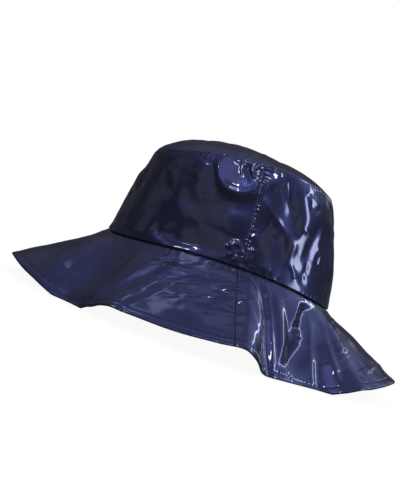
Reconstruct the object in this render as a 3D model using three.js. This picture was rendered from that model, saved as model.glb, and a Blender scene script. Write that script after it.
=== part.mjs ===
// A soft rain hat in glossy navy coated cloth: a crown with a domed top panel and two side
// panels, and a wide floppy brim in a front and a back panel with a turned, stitched hem.
// Millimetres, +Z up. The hat stands on z = 0 as it would lie on a table, on the four lowest
// lobes of its brim. The wearer looks towards -X, and the side seams are at -Y and +Y.
// The origin is under the middle of the hat's box.
import * as THREE from "three";

// Driving dimensions, in millimetres unless the comment says otherwise
const HEAD_LENGTH = 200; // crown at the brim seam, front to back, outside
const HEAD_WIDTH = 168; // the same from side to side
const HEAD_EGG = 0.03; // share by which the back of the oval is wider than its middle
const TIP_LENGTH = 153; // top panel at its seam, front to back
const TIP_WIDTH = 130;
const TIP_FORWARD = 6.5; // the top panel sits this far towards the front
const FRONT_HEIGHT = 82; // crown side panels, from the brim seam to the top seam
const BACK_HEIGHT = 89;
const SEAM_ARCH = 13; // the brim seam rises this much at the sides
const TIP_ARCH = 10.5; // the top seam does too
const FRONT_DROP = 6; // and it drops this much at its very front
const DOME_RISE = 7.5; // the top panel rises this much over its seam
const BRIM_WIDTH = 84; // from the seam to the hem, along the cloth
const HEM_WIDTH = 7; // turned and stitched edge of the brim
const SEAM_ALLOWANCE = 9; // cloth turned up, or down, inside the side panels
const CROWN_WALL = 1.2;
const BRIM_WALL = 1.4;
const HEM_WALL = 2.2;
const GAP = 0.3; // between pieces that meet
const REST_PRESS = 2.4; // how far the lowest lobes are flattened where they rest
const REST_STRIP = 2; // width of the flattened strip along the hem
const DENT_DEPTH = 3; // the deepest dent of the crown
const FOLD_DEPTH = 4; // the deepest fold of the brim

// Shares that shape the crown: how much of its inward lean comes in the rounded shoulder
const SHOULDER = { share: 0.2, power: 6 };
const DOME_POWER = 4;
const GROOVE_WIDTH = 2.6; // the top panel dips into its seam over this width

// Azimuths of the side seams, and how far each leans to the back on its way down the brim.
// The brim's lie a little in front of the crown's.
const CROWN_SEAMS = { far: { degrees: 92.5, lean: 0 }, near: { degrees: 267.5, lean: 0 } };
const BRIM_SEAMS = { far: { degrees: 94, lean: 0 }, near: { degrees: 266.3, lean: 2.1 } };

// Steps round each panel and along it
const HALF_STEPS = 48;
const SIDE_SHARES = [0, 0.14, 0.28, 0.42, 0.56, 0.7, 0.82, 0.92, 1];
const TIP_SHARES = [0.3, 0.58, 0.8, 0.92];
const BRIM_SHARES = [0.08, 0.2, 0.34, 0.48, 0.62, 0.76, 0.86];
const HEM_STEP = 0.8; // the underside steps to the turned hem over this width

// The brim's slope below level, in degrees, where it leaves the crown and at its hem.
// Azimuth runs from the back (+X) over the far side (+Y); the front is 180.
const BRIM_SECTIONS = [
  { azimuth: 0, root: 31, hem: 30 },
  { azimuth: 22, root: 32, hem: 32 },
  { azimuth: 42, root: 43, hem: 47 },
  { azimuth: 60, root: 49, hem: 55 },
  { azimuth: 76, root: 42, hem: 44 },
  { azimuth: 92, root: 38, hem: 40 },
  { azimuth: 112, root: 41, hem: 42 },
  { azimuth: 132, root: 46, hem: 49 },
  { azimuth: 150, root: 46, hem: 53 },
  { azimuth: 166, root: 38, hem: 39 },
  { azimuth: 180, root: 33, hem: 30 },
  { azimuth: 192, root: 36, hem: 35 },
  { azimuth: 204, root: 41, hem: 46 },
  { azimuth: 212, root: 47, hem: 52 },
  { azimuth: 218, root: 46, hem: 51 },
  { azimuth: 222, root: 42, hem: 44 },
  { azimuth: 232, root: 39, hem: 40 },
  { azimuth: 250, root: 41, hem: 42 },
  { azimuth: 264, root: 39, hem: 40 },
  { azimuth: 272, root: 37, hem: 38 },
  { azimuth: 277, root: 41, hem: 44 },
  { azimuth: 282, root: 47, hem: 55 },
  { azimuth: 290, root: 50, hem: 58 },
  { azimuth: 304, root: 49, hem: 56 },
  { azimuth: 320, root: 37, hem: 34 },
  { azimuth: 340, root: 28, hem: 22 },
];

// Soft dents of the crown's side panels: middle azimuth in degrees, share of the panel's
// height, half width in degrees, half height as a share, lean in degrees of azimuth over the
// whole height, and depth as a share of DENT_DEPTH, negative where the cloth stands out.
const CROWN_DENTS = [
  { azimuth: 254, height: 0.72, width: 13, tall: 0.22, lean: 8, depth: -0.7 },
  { azimuth: 243, height: 0.45, width: 12, tall: 0.35, lean: 22, depth: 0.45 },
  { azimuth: 222, height: 0.55, width: 10, tall: 0.3, lean: -14, depth: -0.4 },
  { azimuth: 283, height: 0.4, width: 11, tall: 0.4, lean: 28, depth: 0.6 },
  { azimuth: 299, height: 0.6, width: 7, tall: 0.3, lean: 10, depth: -0.3 },
  { azimuth: 307, height: 0.5, width: 6, tall: 0.3, lean: 20, depth: 0.5 },
  { azimuth: 333, height: 0.45, width: 9, tall: 0.4, lean: -12, depth: -0.5 },
  { azimuth: 12, height: 0.55, width: 11, tall: 0.35, lean: 18, depth: 0.6 },
  { azimuth: 42, height: 0.45, width: 9, tall: 0.4, lean: -18, depth: -0.6 },
  { azimuth: 66, height: 0.6, width: 9, tall: 0.35, lean: 20, depth: 0.9 },
  { azimuth: 98, height: 0.7, width: 8, tall: 0.25, lean: -12, depth: 0.7 },
  { azimuth: 124, height: 0.45, width: 12, tall: 0.4, lean: 20, depth: 0.55 },
  { azimuth: 152, height: 0.55, width: 10, tall: 0.35, lean: -16, depth: -0.5 },
  { azimuth: 186, height: 0.5, width: 13, tall: 0.4, lean: 10, depth: 0.4 },
];

// Folds of the brim: azimuth at the crown seam and at the hem, half width in degrees, share of
// the brim's width where the fold is deepest, and depth as a share of FOLD_DEPTH, negative
// where the fold stands up.
const BRIM_FOLDS = [
  { seam: 240, hem: 222, width: 4, deepest: 0.8, depth: 0.6 },
  { seam: 247, hem: 229, width: 5, deepest: 0.7, depth: -0.5 },
  { seam: 278, hem: 283, width: 3.6, deepest: 0.6, depth: 0.9 },
  { seam: 287, hem: 291, width: 4, deepest: 0.5, depth: -0.45 },
  { seam: 312, hem: 307, width: 5, deepest: 0.65, depth: 0.8 },
  { seam: 321, hem: 318, width: 5, deepest: 0.6, depth: -0.6 },
  { seam: 345, hem: 341, width: 6, deepest: 0.6, depth: 0.5 },
  { seam: 18, hem: 22, width: 6, deepest: 0.6, depth: -0.5 },
  { seam: 44, hem: 48, width: 5, deepest: 0.6, depth: 0.8 },
  { seam: 74, hem: 71, width: 4, deepest: 0.6, depth: 0.8 },
  { seam: 84, hem: 82, width: 4.5, deepest: 0.55, depth: -0.6 },
  { seam: 116, hem: 121, width: 5, deepest: 0.7, depth: 0.7 },
  { seam: 138, hem: 141, width: 5, deepest: 0.6, depth: -0.4 },
  { seam: 168, hem: 163, width: 6, deepest: 0.65, depth: 0.6 },
  { seam: 194, hem: 199, width: 6, deepest: 0.6, depth: -0.4 },
];

const FULL_TURN = 360;
const radians = (degrees) => THREE.MathUtils.degToRad(degrees);

// Shortest signed turn from one azimuth to another, in degrees
function turnBetween(from, to) {
  return THREE.MathUtils.euclideanModulo(to - from + 180, FULL_TURN) - 180;
}

// A column of BRIM_SECTIONS at any azimuth, as a smooth closed curve through its rows
function sectionAt(azimuth, column) {
  const rows = BRIM_SECTIONS;
  const at = THREE.MathUtils.euclideanModulo(azimuth, FULL_TURN);
  const next = rows.findIndex((row) => row.azimuth > at);
  const after = next < 0 ? rows.length : next;
  const row = (i) => {
    const lap = Math.floor(i / rows.length);
    const r = rows[i - lap * rows.length];
    return { azimuth: r.azimuth + lap * FULL_TURN, value: r[column] };
  };
  const [a, b, c, d] = [row(after - 2), row(after - 1), row(after), row(after + 1)];
  const span = c.azimuth - b.azimuth;
  const s = (at - b.azimuth) / span;
  const leaving = ((c.value - a.value) / (c.azimuth - a.azimuth)) * span;
  const arriving = ((d.value - b.value) / (d.azimuth - b.azimuth)) * span;
  return (
    (2 * s ** 3 - 3 * s ** 2 + 1) * b.value +
    (s ** 3 - 2 * s ** 2 + s) * leaving +
    (3 * s ** 2 - 2 * s ** 3) * c.value +
    (s ** 3 - s ** 2) * arriving
  );
}

// A point of an egg-shaped oval in plan
function oval(azimuth, length, width) {
  const a = radians(azimuth);
  return new THREE.Vector3(
    (length / 2) * Math.cos(a),
    (width / 2) * Math.sin(a) * (1 + HEAD_EGG * Math.cos(a)),
    0,
  );
}

// The level direction that points straight out of the head's oval
function outwardAt(azimuth) {
  const along = oval(azimuth + 0.01, HEAD_LENGTH, HEAD_WIDTH).sub(
    oval(azimuth - 0.01, HEAD_LENGTH, HEAD_WIDTH),
  );
  return new THREE.Vector3(along.y, -along.x, 0).normalize();
}

// How far the brim has gone out and down at a distance along its cloth
function brimReach(azimuth, along) {
  const root = radians(sectionAt(azimuth, "root"));
  const hem = radians(sectionAt(azimuth, "hem"));
  const bend = (hem - root) / BRIM_WIDTH;
  if (Math.abs(bend) < 1e-7) {
    return { out: along * Math.cos(root), down: along * Math.sin(root), slope: root };
  }
  const slope = root + bend * along;
  return {
    out: (Math.sin(slope) - Math.sin(root)) / bend,
    down: (Math.cos(root) - Math.cos(slope)) / bend,
    slope,
  };
}

const archAt = (azimuth, rise) => rise * Math.sin(radians(azimuth)) ** 2;

// Heights of the brim seam at the front and back, from which the lowest lobes of the brim
// reach the table and press into it by REST_PRESS
function restingHeights() {
  const heights = { front: BRIM_WIDTH / 2, back: BRIM_WIDTH / 2 };
  const rounds = 30;
  for (let round = 0; round < rounds; round += 1) {
    const lowest = { front: Infinity, back: Infinity };
    for (let azimuth = 0; azimuth < FULL_TURN; azimuth += 1) {
      const backness = (1 + Math.cos(radians(azimuth))) / 2;
      const { down, slope } = brimReach(azimuth, BRIM_WIDTH);
      const seam = heights.front + (heights.back - heights.front) * backness;
      const hem = seam + archAt(azimuth, SEAM_ARCH) - GAP - down - HEM_WALL * Math.cos(slope);
      const half = backness < 0.5 ? "front" : "back";
      lowest[half] = Math.min(lowest[half], hem);
    }
    heights.front -= lowest.front + REST_PRESS;
    heights.back -= lowest.back + REST_PRESS;
  }
  return heights;
}
const SEAM_HEIGHTS = restingHeights();

// Height of the brim seam
function seamHeight(azimuth) {
  const backness = (1 + Math.cos(radians(azimuth))) / 2;
  const level = SEAM_HEIGHTS.front + (SEAM_HEIGHTS.back - SEAM_HEIGHTS.front) * backness;
  return level + archAt(azimuth, SEAM_ARCH);
}

// Height of the top panel at a distance x from its middle, at a share of the way out
function tipHeight(x, share) {
  const front = SEAM_HEIGHTS.front + FRONT_HEIGHT;
  const back = SEAM_HEIGHTS.back + BACK_HEIGHT;
  const backness = x / (TIP_LENGTH / 2);
  const level = (front + back) / 2 + ((back - front) / 2) * backness;
  const drop = FRONT_DROP * Math.max(0, -backness) ** 4;
  const dome = DOME_RISE * (1 - share ** DOME_POWER);
  return level + TIP_ARCH * (1 - backness ** 2) - drop + dome;
}

// A soft bump that is 1 in its middle and 0 past its edge
function bump(distance) {
  const d = Math.min(1, Math.abs(distance));
  return (1 - d * d) ** 2;
}

function crownDent(azimuth, share) {
  return CROWN_DENTS.reduce((sum, dent) => {
    const middle = dent.azimuth + dent.lean * (share - dent.height);
    const across = turnBetween(middle, azimuth) / dent.width;
    return sum + dent.depth * bump(across) * bump((share - dent.height) / dent.tall);
  }, 0);
}

function brimFold(azimuth, share) {
  return BRIM_FOLDS.reduce((sum, fold) => {
    const middle = fold.seam + (fold.hem - fold.seam) * share;
    const across = turnBetween(middle, azimuth) / fold.width;
    const reach = Math.max(fold.deepest, 1 - fold.deepest);
    return sum + fold.depth * bump(across) * bump((share - fold.deepest) / (reach * 1.2));
  }, 0);
}

// 0 at both ends of a panel and 1 over its middle, so that its seams stay true
function betweenSeams(share, edge) {
  const near = THREE.MathUtils.smoothstep(share, 0, edge);
  return near * (1 - THREE.MathUtils.smoothstep(share, 1 - edge, 1));
}

// Outer surface of the crown's side, from the brim seam (share 0) to the top seam (share 1)
function crownSide(azimuth, share) {
  const foot = oval(azimuth, HEAD_LENGTH, HEAD_WIDTH);
  const tip = oval(azimuth, TIP_LENGTH, TIP_WIDTH);
  foot.z = seamHeight(azimuth);
  tip.z = tipHeight(tip.x, 1);
  tip.x -= TIP_FORWARD;
  const inward = (1 - SHOULDER.share) * share + SHOULDER.share * share ** SHOULDER.power;
  const point = foot.clone().lerp(tip, inward);
  point.z = THREE.MathUtils.lerp(foot.z, tip.z, share);
  const dent = DENT_DEPTH * crownDent(azimuth, share) * betweenSeams(share, 0.16);
  return point.addScaledVector(outwardAt(azimuth), -dent);
}

// The surface normal of surface(azimuth, along), from small steps both ways
function normalOf(surface, azimuth, along, step) {
  const round = surface(azimuth + 0.05, along).sub(surface(azimuth - 0.05, along));
  const up = surface(azimuth, along + step).sub(surface(azimuth, along - step));
  return round.cross(up).normalize();
}

// The crown's side drawn in by its own wall and the gap, where turned cloth lies inside it
function insideSide(azimuth, share) {
  const normal = normalOf(crownSide, azimuth, share, 0.005);
  return crownSide(azimuth, share).addScaledVector(normal, -(CROWN_WALL + GAP));
}

const meanHeight = (FRONT_HEIGHT + BACK_HEIGHT) / 2;
const allowanceShare = SEAM_ALLOWANCE / meanHeight;

// Outer surface of the top panel. Share 0 is its middle and 1 its seam, from which the
// allowance turns down inside the side panels.
function crownTip(azimuth, share) {
  const bend = insideSide(azimuth, 1);
  if (share >= 1) return insideSide(azimuth, 1 - (share - 1));
  const ring = oval(azimuth, TIP_LENGTH, TIP_WIDTH).multiplyScalar(share);
  const point = new THREE.Vector3(ring.x - TIP_FORWARD, ring.y, tipHeight(ring.x, share));
  const grooveShare = 1 - GROOVE_WIDTH / (TIP_WIDTH / 2);
  const dip = Math.max(0, (share - grooveShare) / (1 - grooveShare));
  return point.lerp(bend, dip);
}

// Outer (upper) surface of the brim at a distance along the cloth from the seam. Negative
// distances are the allowance, which stands up inside the side panels.
function brimTop(azimuth, along) {
  if (along < 0) return insideSide(azimuth, -along / meanHeight);
  const point = insideSide(azimuth, 0);
  const reach = brimReach(azimuth, along);
  const share = along / BRIM_WIDTH;
  const fold = FOLD_DEPTH * brimFold(azimuth, share) * THREE.MathUtils.smoothstep(share, 0, 0.3);
  point.z -= GAP;
  point.addScaledVector(outwardAt(azimuth), reach.out - fold * Math.sin(reach.slope));
  point.z -= reach.down + fold * Math.cos(reach.slope);
  return point;
}

function brimWallAt(along) {
  return along >= BRIM_WIDTH - HEM_WIDTH ? HEM_WALL : BRIM_WALL;
}

// The same seam, one turn further on
function turnedOnce(seam) {
  return { degrees: seam.degrees + FULL_TURN, lean: seam.lean };
}

// A side seam's azimuth at a distance along the cloth. Only the brim's seams lean.
function seamAzimuth(seam, along) {
  return seam.degrees + (seam.lean * Math.max(0, along)) / BRIM_WIDTH;
}

// An azimuth beside a side seam, half a gap away from it along the surface
function besideSeam(surface, azimuth, along, side) {
  const speed = surface(azimuth + 0.5, along).distanceTo(surface(azimuth - 0.5, along));
  return azimuth + (side * GAP) / 2 / speed;
}

// Azimuths of a half panel's columns between two side seams, in one row
function halfColumns(surface, from, to, along) {
  const first = seamAzimuth(from, along);
  const last = seamAzimuth(to, along);
  const start = besideSeam(surface, first, along, 1);
  const end = besideSeam(surface, last, along, -1);
  return Array.from({ length: HALF_STEPS + 1 }, (_, i) => {
    if (i === 0) return start;
    if (i === HALF_STEPS) return end;
    return first + ((last - first) * i) / HALF_STEPS;
  });
}

// A closed solid from an outer and an inner grid of points. Rows run round the hat; a closed
// ring joins each row's last column to its first, and a middle point caps the first row.
function sheetSolid(outer, inner, { ring = false, middle = null } = {}) {
  const rows = outer.length;
  const columns = outer[0].length;
  const points = [...outer.flat(), ...inner.flat(), ...(middle ?? [])];
  const innerStart = rows * columns;
  const triangles = [];
  const quad = (a, b, c, d) => triangles.push(a, b, c, a, c, d);
  const spans = ring ? columns : columns - 1;
  const at = (row, column) => row * columns + (column % columns);
  for (let row = 0; row + 1 < rows; row += 1) {
    for (let column = 0; column < spans; column += 1) {
      const corners = [
        at(row, column),
        at(row, column + 1),
        at(row + 1, column + 1),
        at(row + 1, column),
      ];
      const under = corners.map((corner) => corner + innerStart);
      quad(...corners);
      quad(under[3], under[2], under[1], under[0]);
    }
  }
  for (let column = 0; column < spans; column += 1) {
    const last = [at(rows - 1, column), at(rows - 1, column + 1)];
    quad(last[0], last[1], last[1] + innerStart, last[0] + innerStart);
    const first = [at(0, column), at(0, column + 1)];
    if (middle) {
      const [top, under] = [2 * innerStart, 2 * innerStart + 1];
      triangles.push(top, first[1], first[0]);
      triangles.push(under, first[0] + innerStart, first[1] + innerStart);
    } else {
      quad(first[1], first[0], first[0] + innerStart, first[1] + innerStart);
    }
  }
  if (!ring) {
    for (let row = 0; row + 1 < rows; row += 1) {
      const start = [at(row, 0), at(row + 1, 0)];
      const end = [at(row, columns - 1), at(row + 1, columns - 1)];
      quad(start[0], start[1], start[1] + innerStart, start[0] + innerStart);
      quad(end[1], end[0], end[0] + innerStart, end[1] + innerStart);
    }
  }
  const positions = new Float32Array(points.flatMap((p) => [p.x, p.y, p.z]));
  return new THREE.BufferGeometry()
    .setAttribute("position", new THREE.BufferAttribute(positions, 3))
    .setIndex(triangles);
}

// Turns every face of a solid round
function flipped(geometry) {
  const index = geometry.index.array;
  for (let i = 0; i < index.length; i += 3) {
    [index[i + 1], index[i + 2]] = [index[i + 2], index[i + 1]];
  }
  return geometry;
}

// One side panel of the crown, between two side seams
function crownSidePanel(from, to) {
  const outer = SIDE_SHARES.map((share) =>
    halfColumns(crownSide, from, to, share).map((azimuth) => crownSide(azimuth, share)),
  );
  const inner = SIDE_SHARES.map((share) =>
    halfColumns(crownSide, from, to, share).map((azimuth) =>
      crownSide(azimuth, share).addScaledVector(
        normalOf(crownSide, azimuth, share, 0.005),
        -CROWN_WALL,
      ),
    ),
  );
  return sheetSolid(outer, inner);
}

// The domed top panel with its allowance turned down
function crownTipPanel() {
  const seamShare = 1;
  const grooveShare = 1 - GROOVE_WIDTH / (TIP_WIDTH / 2);
  const shares = [...TIP_SHARES, grooveShare, seamShare, seamShare + allowanceShare];
  const azimuths = Array.from(
    { length: 2 * HALF_STEPS },
    (_, i) => (FULL_TURN * i) / (2 * HALF_STEPS),
  );
  const outer = shares.map((share) => azimuths.map((azimuth) => crownTip(azimuth, share)));
  const inner = shares.map((share) =>
    azimuths.map((azimuth) =>
      crownTip(azimuth, share).addScaledVector(
        normalOf(crownTip, azimuth, share, 0.01),
        CROWN_WALL,
      ),
    ),
  );
  const top = new THREE.Vector3(-TIP_FORWARD, 0, tipHeight(0, 0));
  const under = top.clone().setZ(top.z - CROWN_WALL);
  return flipped(sheetSolid(outer, inner, { ring: true, middle: [top, under] }));
}

// One half of the brim, between two side seams, with its allowance and its turned hem. Where
// the cloth would pass through the table it lies on it instead.
function brimPanel(from, to) {
  const stitchLine = BRIM_WIDTH - HEM_WIDTH;
  const alongs = [
    -SEAM_ALLOWANCE,
    0,
    ...BRIM_SHARES.map((share) => share * BRIM_WIDTH),
    stitchLine - HEM_STEP,
    stitchLine,
    BRIM_WIDTH - REST_STRIP,
    BRIM_WIDTH,
  ];
  const edgeHeight = HEM_WALL / 2;
  const outer = alongs.map((along) =>
    halfColumns(brimTop, from, to, along).map((azimuth) => brimTop(azimuth, along)),
  );
  const inner = alongs.map((along, row) =>
    halfColumns(brimTop, from, to, along).map((azimuth, column) => {
      const normal = normalOf(brimTop, azimuth, along, 0.4);
      const point = outer[row][column].clone().addScaledVector(normal, brimWallAt(along));
      point.z = Math.max(point.z, 0);
      return point;
    }),
  );
  outer.flat().forEach((point) => {
    point.z = Math.max(point.z, edgeHeight);
  });
  return flipped(sheetSolid(outer, inner));
}

// Middle of the hat's box in plan, from its hem
function planMiddle() {
  const box = new THREE.Box3();
  for (let azimuth = 0; azimuth < FULL_TURN; azimuth += 1) {
    box.expandByPoint(brimTop(azimuth, BRIM_WIDTH));
  }
  return box.getCenter(new THREE.Vector3()).setZ(0);
}

const navyGloss = { color: 0x1c1d42, roughness: 0.12, metalness: 0 };

function piece(name, geometry) {
  const mesh = new THREE.Mesh(geometry, new THREE.MeshStandardMaterial(navyGloss));
  mesh.name = name;
  return mesh;
}

const hat = new THREE.Group();
hat.add(
  piece("crown_tip", crownTipPanel()),
  piece("crown_side_front", crownSidePanel(CROWN_SEAMS.far, CROWN_SEAMS.near)),
  piece("crown_side_back", crownSidePanel(CROWN_SEAMS.near, turnedOnce(CROWN_SEAMS.far))),
  piece("brim_front", brimPanel(BRIM_SEAMS.far, BRIM_SEAMS.near)),
  piece("brim_back", brimPanel(BRIM_SEAMS.near, turnedOnce(BRIM_SEAMS.far))),
);
hat.position.copy(planMiddle().negate());

const part = new THREE.Group();
part.add(hat);
export default part;
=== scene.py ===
# The looks of a soft rain hat in navy patent vinyl, sewn from a top panel, two crown side
# panels and two brim panels. Millimetres until a mesh is made, then metres.
import math

import bpy
import numpy as np
from mathutils import Matrix, Vector


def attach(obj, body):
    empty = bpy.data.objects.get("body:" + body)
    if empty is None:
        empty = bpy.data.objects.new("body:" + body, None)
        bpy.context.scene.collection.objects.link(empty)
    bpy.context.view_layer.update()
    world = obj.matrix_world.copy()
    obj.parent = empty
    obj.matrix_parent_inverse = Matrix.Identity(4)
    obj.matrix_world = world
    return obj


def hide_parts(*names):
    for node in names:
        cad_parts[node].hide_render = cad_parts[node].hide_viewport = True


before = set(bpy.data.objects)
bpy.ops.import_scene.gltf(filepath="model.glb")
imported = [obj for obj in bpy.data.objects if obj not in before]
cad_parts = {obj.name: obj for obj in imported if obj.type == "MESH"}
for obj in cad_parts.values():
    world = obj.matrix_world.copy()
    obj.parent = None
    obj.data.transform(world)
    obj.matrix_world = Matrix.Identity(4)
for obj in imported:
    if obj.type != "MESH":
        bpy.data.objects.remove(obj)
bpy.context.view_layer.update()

MM = 0.001
FULL_TURN = 360
EVERY_DEGREE = np.arange(0, FULL_TURN, 1.0)

# The hat's sizes, as in the part's own source
HEAD_LENGTH = 200
HEAD_WIDTH = 168
HEAD_EGG = 0.03
TIP_LENGTH = 153
TIP_WIDTH = 130
TIP_FORWARD = 6.5
FRONT_HEIGHT = 82
BACK_HEIGHT = 89
SIDE_HEIGHT = (FRONT_HEIGHT + BACK_HEIGHT) / 2
SEAM_ARCH = 13
TIP_ARCH = 10.5
FRONT_DROP = 6
DOME_RISE = 7.5
DOME_POWER = 4
BRIM_WIDTH = 84
HEM_WIDTH = 7
SEAM_ALLOWANCE = 9
CROWN_WALL = 1.2
BRIM_WALL = 1.4
HEM_WALL = 2.2
STITCH_LINE = BRIM_WIDTH - 6.2  # distance along the brim
GAP = 0.3
REST_PRESS = 2.4
DENT_DEPTH = 3
FOLD_DEPTH = 4
SHOULDER_SHARE = 0.2
SHOULDER_POWER = 6
DENT_MARGIN = 0.16  # share of the side's height over which dents die away to its seams
CROWN_SEAMS = (92.5, 267.5)
BRIM_SEAMS = ((94.0, 94.0), (266.3, 268.4))  # at the crown and at the hem

# Steps for the normals of the forms: degrees, share of the side's height, millimetres of brim
AZIMUTH_STEP = 0.05
SHARE_STEP = 0.005
BRIM_STEP = 0.4

# Millimetres of cloth to a degree, for the spacing of gathers and creases
CROWN_DEGREE = 1.5  # on the crown's side, near its middle height
SEAM_DEGREE = 1.62  # along the brim seam
TIP_SEAM_DEGREE = 0.78 * SEAM_DEGREE
TIP_DEGREE = 1.25  # on the top panel, near its seam
STITCH_DEGREE = 2.6  # along the hem's stitches
BRIM_DEGREE = 1.61  # on the brim at its seam
BRIM_DEGREE_GAIN = 0.0135  # and more for each millimetre along the cloth

# The brim's slope below level: azimuth, at the crown and at the hem, in degrees
BRIM_SECTIONS = np.array([
    (0, 31, 30), (22, 32, 32), (42, 43, 47), (60, 49, 55), (76, 42, 44), (92, 38, 40),
    (112, 41, 42), (132, 46, 49), (150, 46, 53), (166, 38, 39), (180, 33, 30), (192, 36, 35),
    (204, 41, 46), (212, 47, 52), (218, 46, 51), (222, 42, 44), (232, 39, 40), (250, 41, 42),
    (264, 39, 40), (272, 37, 38), (277, 41, 44), (282, 47, 55), (290, 50, 58), (304, 49, 56),
    (320, 37, 34), (340, 28, 22),
], float)

# Soft dents of the crown: azimuth, height share, half width, half height share, lean, depth
CROWN_DENTS = [
    (254, 0.72, 13, 0.22, 8, -0.7), (243, 0.45, 12, 0.35, 22, 0.45),
    (222, 0.55, 10, 0.3, -14, -0.4), (283, 0.4, 11, 0.4, 28, 0.6),
    (299, 0.6, 7, 0.3, 10, -0.3), (307, 0.5, 6, 0.3, 20, 0.5), (333, 0.45, 9, 0.4, -12, -0.5),
    (12, 0.55, 11, 0.35, 18, 0.6), (42, 0.45, 9, 0.4, -18, -0.6), (66, 0.6, 9, 0.35, 20, 0.9),
    (98, 0.7, 8, 0.25, -12, 0.7), (124, 0.45, 12, 0.4, 20, 0.55),
    (152, 0.55, 10, 0.35, -16, -0.5), (186, 0.5, 13, 0.4, 10, 0.4),
]

# Folds of the brim: azimuth at the seam and at the hem, half width, deepest share, depth
BRIM_FOLDS = [
    (240, 222, 4, 0.8, 0.6), (247, 229, 5, 0.7, -0.5), (278, 283, 3.6, 0.6, 0.9),
    (287, 291, 4, 0.5, -0.45), (312, 307, 5, 0.65, 0.8), (321, 318, 5, 0.6, -0.6),
    (345, 341, 6, 0.6, 0.5), (18, 22, 6, 0.6, -0.5), (44, 48, 5, 0.6, 0.8),
    (74, 71, 4, 0.6, 0.8), (84, 82, 4.5, 0.55, -0.6), (116, 121, 5, 0.7, 0.7),
    (138, 141, 5, 0.6, -0.4), (168, 163, 6, 0.65, 0.6), (194, 199, 6, 0.6, -0.4),
]

# Creases of the crown: height in millimetres, negative where the cloth goes in, breadth over
# which it falls away on both sides, radius of its ridge, and the points that it runs through,
# which are azimuths with shares of the side's height.
CROWN_CREASES = [
    (1.1, 13, 0.7, [(268.5, 0.74), (275, 0.62), (283, 0.52), (291, 0.41), (297.5, 0.33)]),
    (-0.9, 9, 1.5, [(278, 0.88), (285, 0.74), (291, 0.62)]),
    (0.7, 5, 0.6, [(296, 0.93), (301, 0.9), (307, 0.86), (310, 0.8)]),
    (-0.6, 5, 0.7, [(300, 0.84), (305, 0.79), (312, 0.82)]),
    (0.9, 14, 1.6, [(222, 0.5), (233, 0.4), (243, 0.27), (250, 0.16)]),
    (0.7, 12, 1.4, [(233.5, 0.92), (232, 0.82), (229, 0.72)]),
    (-0.8, 14, 2, [(204, 0.9), (214, 0.66), (226, 0.5), (246, 0.46)]),
    (0.6, 3, 0.35, [(239, 0.94), (241.5, 0.87), (244, 0.78), (249, 0.7), (257, 0.68), (265, 0.735)]),
    (1, 4, 0.4, [(255.5, 0.99), (254.5, 0.9), (257, 0.83)]),
    (-0.9, 4, 0.5, [(258.5, 0.99), (258, 0.91), (260.5, 0.85), (259, 0.79)]),
    (0.9, 3.5, 0.4, [(262.5, 0.98), (261, 0.91), (263.5, 0.84)]),
    (1.3, 4, 0.4, [(259, 0.06), (261.5, 0.11), (260.8, 0.17), (263, 0.24)]),
    (1.2, 3.5, 0.4, [(264.4, 0.1), (265.2, 0.16), (263.6, 0.2), (260, 0.225)]),
    (1, 3, 0.3, [(257.5, 0.15), (259.5, 0.17), (260, 0.21)]),
    (1, 3, 0.3, [(262, 0.04), (264, 0.07), (263.5, 0.11)]),
    (1, 3.5, 0.4, [(268.4, 0.05), (269.5, 0.12), (270, 0.19), (273, 0.2)]),
    (0.9, 3, 0.3, [(270, 0.05), (273, 0.04), (275, 0.06)]),
    (0.8, 9, 1, [(330, 0.92), (334, 0.7), (331, 0.45), (326, 0.2)]),
    (-0.8, 9, 1.4, [(344, 0.85), (350, 0.6), (352, 0.3)]),
    (1.1, 12, 1.2, [(14, 0.9), (8, 0.66), (4, 0.42), (10, 0.18)]),
    (-1, 11, 1.4, [(30, 0.88), (36, 0.6), (32, 0.34)]),
    (1.2, 11, 1, [(86, 0.8), (76, 0.6), (66, 0.42), (54, 0.3)]),
    (-1.2, 12, 1.5, [(100, 0.86), (108, 0.66), (118, 0.5), (134, 0.42)]),
    (1, 12, 1.3, [(140, 0.86), (148, 0.6), (144, 0.36), (150, 0.14)]),
    (0.9, 12, 1.4, [(166, 0.8), (174, 0.6), (186, 0.5), (196, 0.3)]),
]

# Small hollows of the crown, with the columns of CROWN_DENTS and depths in millimetres
CROWN_HOLLOWS = [
    (291, 0.3, 5, 0.2, 0, -0.8), (302, 0.1, 5, 0.15, -10, 0.8), (296, 0.85, 7, 0.2, 0, -0.9),
    (276, 0.9, 6, 0.1, 0, -0.6), (58, 0.7, 8, 0.2, 10, 1.2), (160, 0.3, 10, 0.2, 0, 0.9),
    (20, 0.3, 9, 0.2, 8, 1), (118, 0.8, 8, 0.14, 0, 1),
]

# Hollows of the brim: azimuth, distance along the cloth, half width in degrees, half length
# and depth in millimetres
BRIM_HOLLOWS = [
    (237, 54, 11, 34, 1.1), (250, 60, 9, 40, -0.8), (283, 50, 8, 40, -0.9),
    (310, 50, 5, 40, -1.3), (319, 60, 8, 40, 2.2),
]

# The fold that runs down the brim behind its side seam: the cloth drops between the left brink
# and the right one, and comes up again gently. Azimuths with millimetres along the cloth.
FOLD_LEFT = [(301, 4), (296, 22), (292, 40), (288, 58), (287, 76)]
FOLD_RIGHT = [(308, 4), (301, 22), (301, 44), (295, 60), (290, 76)]
FOLD_DROP = 3
FOLD_RETURN = 10  # degrees that the cloth takes to come up again
FOLD_START = (2, 16)  # it deepens between these distances along the cloth
FOLD_END = (64, 78)  # and dies away between these

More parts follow.
